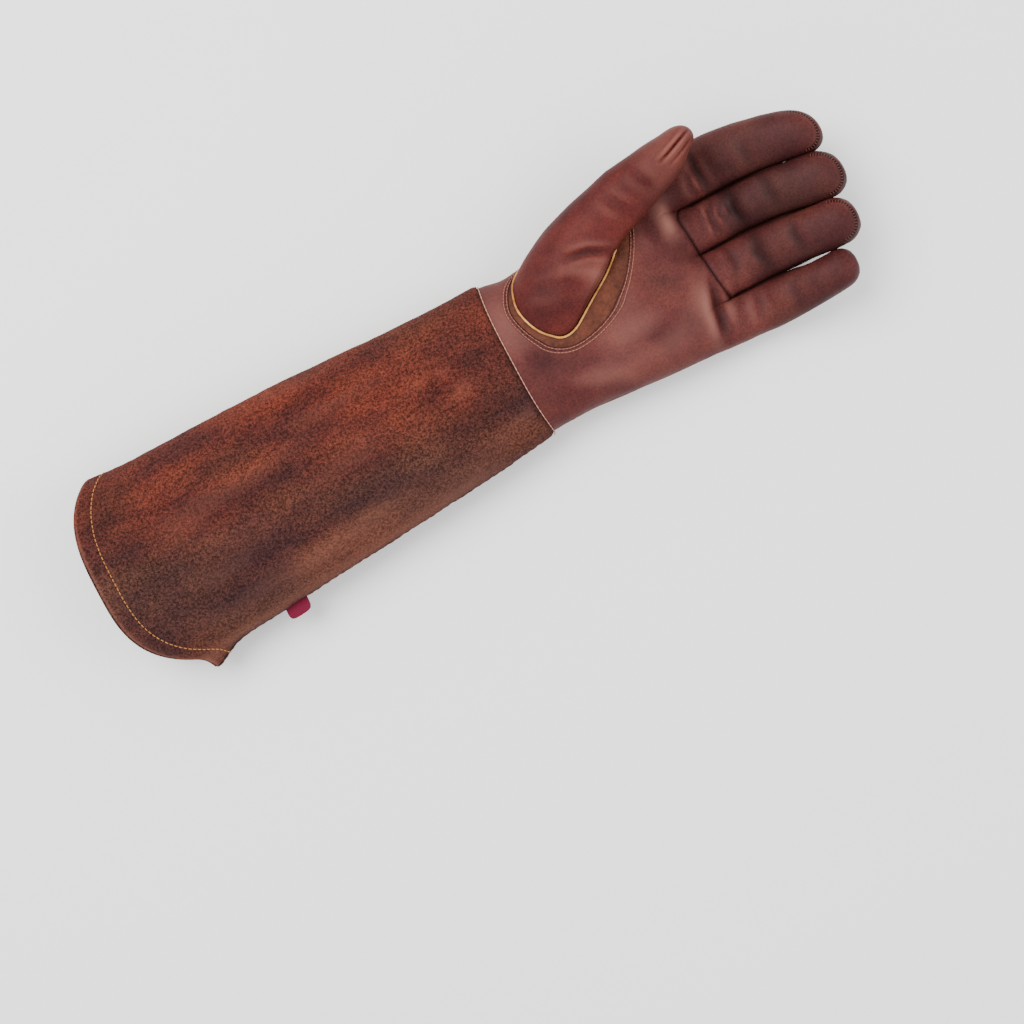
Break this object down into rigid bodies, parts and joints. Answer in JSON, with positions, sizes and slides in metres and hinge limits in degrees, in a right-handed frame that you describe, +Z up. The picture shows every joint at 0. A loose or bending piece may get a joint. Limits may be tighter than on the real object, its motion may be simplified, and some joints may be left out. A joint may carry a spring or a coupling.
{
  "type": "rose pruning gauntlet glove",
  "caption": "Left-hand long gauntlet of smooth leather with a suede forearm cuff, open inside, lying palm up with curled fingers.",
  "frame": {"origin": "centre of the footprint on the table the glove lies on", "axes": "+X from the cuff mouth to the fingertips, +Y to the thumb side, +Z up, out of the palm"},
  "size_m": [0.503, 0.1542, 0.0689],
  "materials": {
    "suede": "matt napped suede",
    "suede_hem": "matt napped suede",
    "hand_leather": "smooth satin grain",
    "side_leather": "smooth satin grain",
    "yellow_piping": "satin",
    "pale_piping": "matt",
    "red_cloth": "woven, matt"
  },
  "bodies": {
    "root": {"cuff_palm_side": "suede", "cuff_back_side": "suede", "cuff_hem": "suede_hem", "label_tab": "red_cloth", "palm": "hand_leather", "little_front": "hand_leather", "index_front": "hand_leather", "hand_back": "hand_leather", "ring_front": "hand_leather", "middle_front": "hand_leather", "fourchette_little_ring": "side_leather", "fourchette_ring_middle": "side_leather", "fourchette_middle_index": "side_leather", "thumb_gusset": "side_leather", "thumb": "hand_leather", "thumb_piping": "yellow_piping", "index_piping": "yellow_piping", "wrist_piping": "pale_piping"}
  },
  "joints": []
}
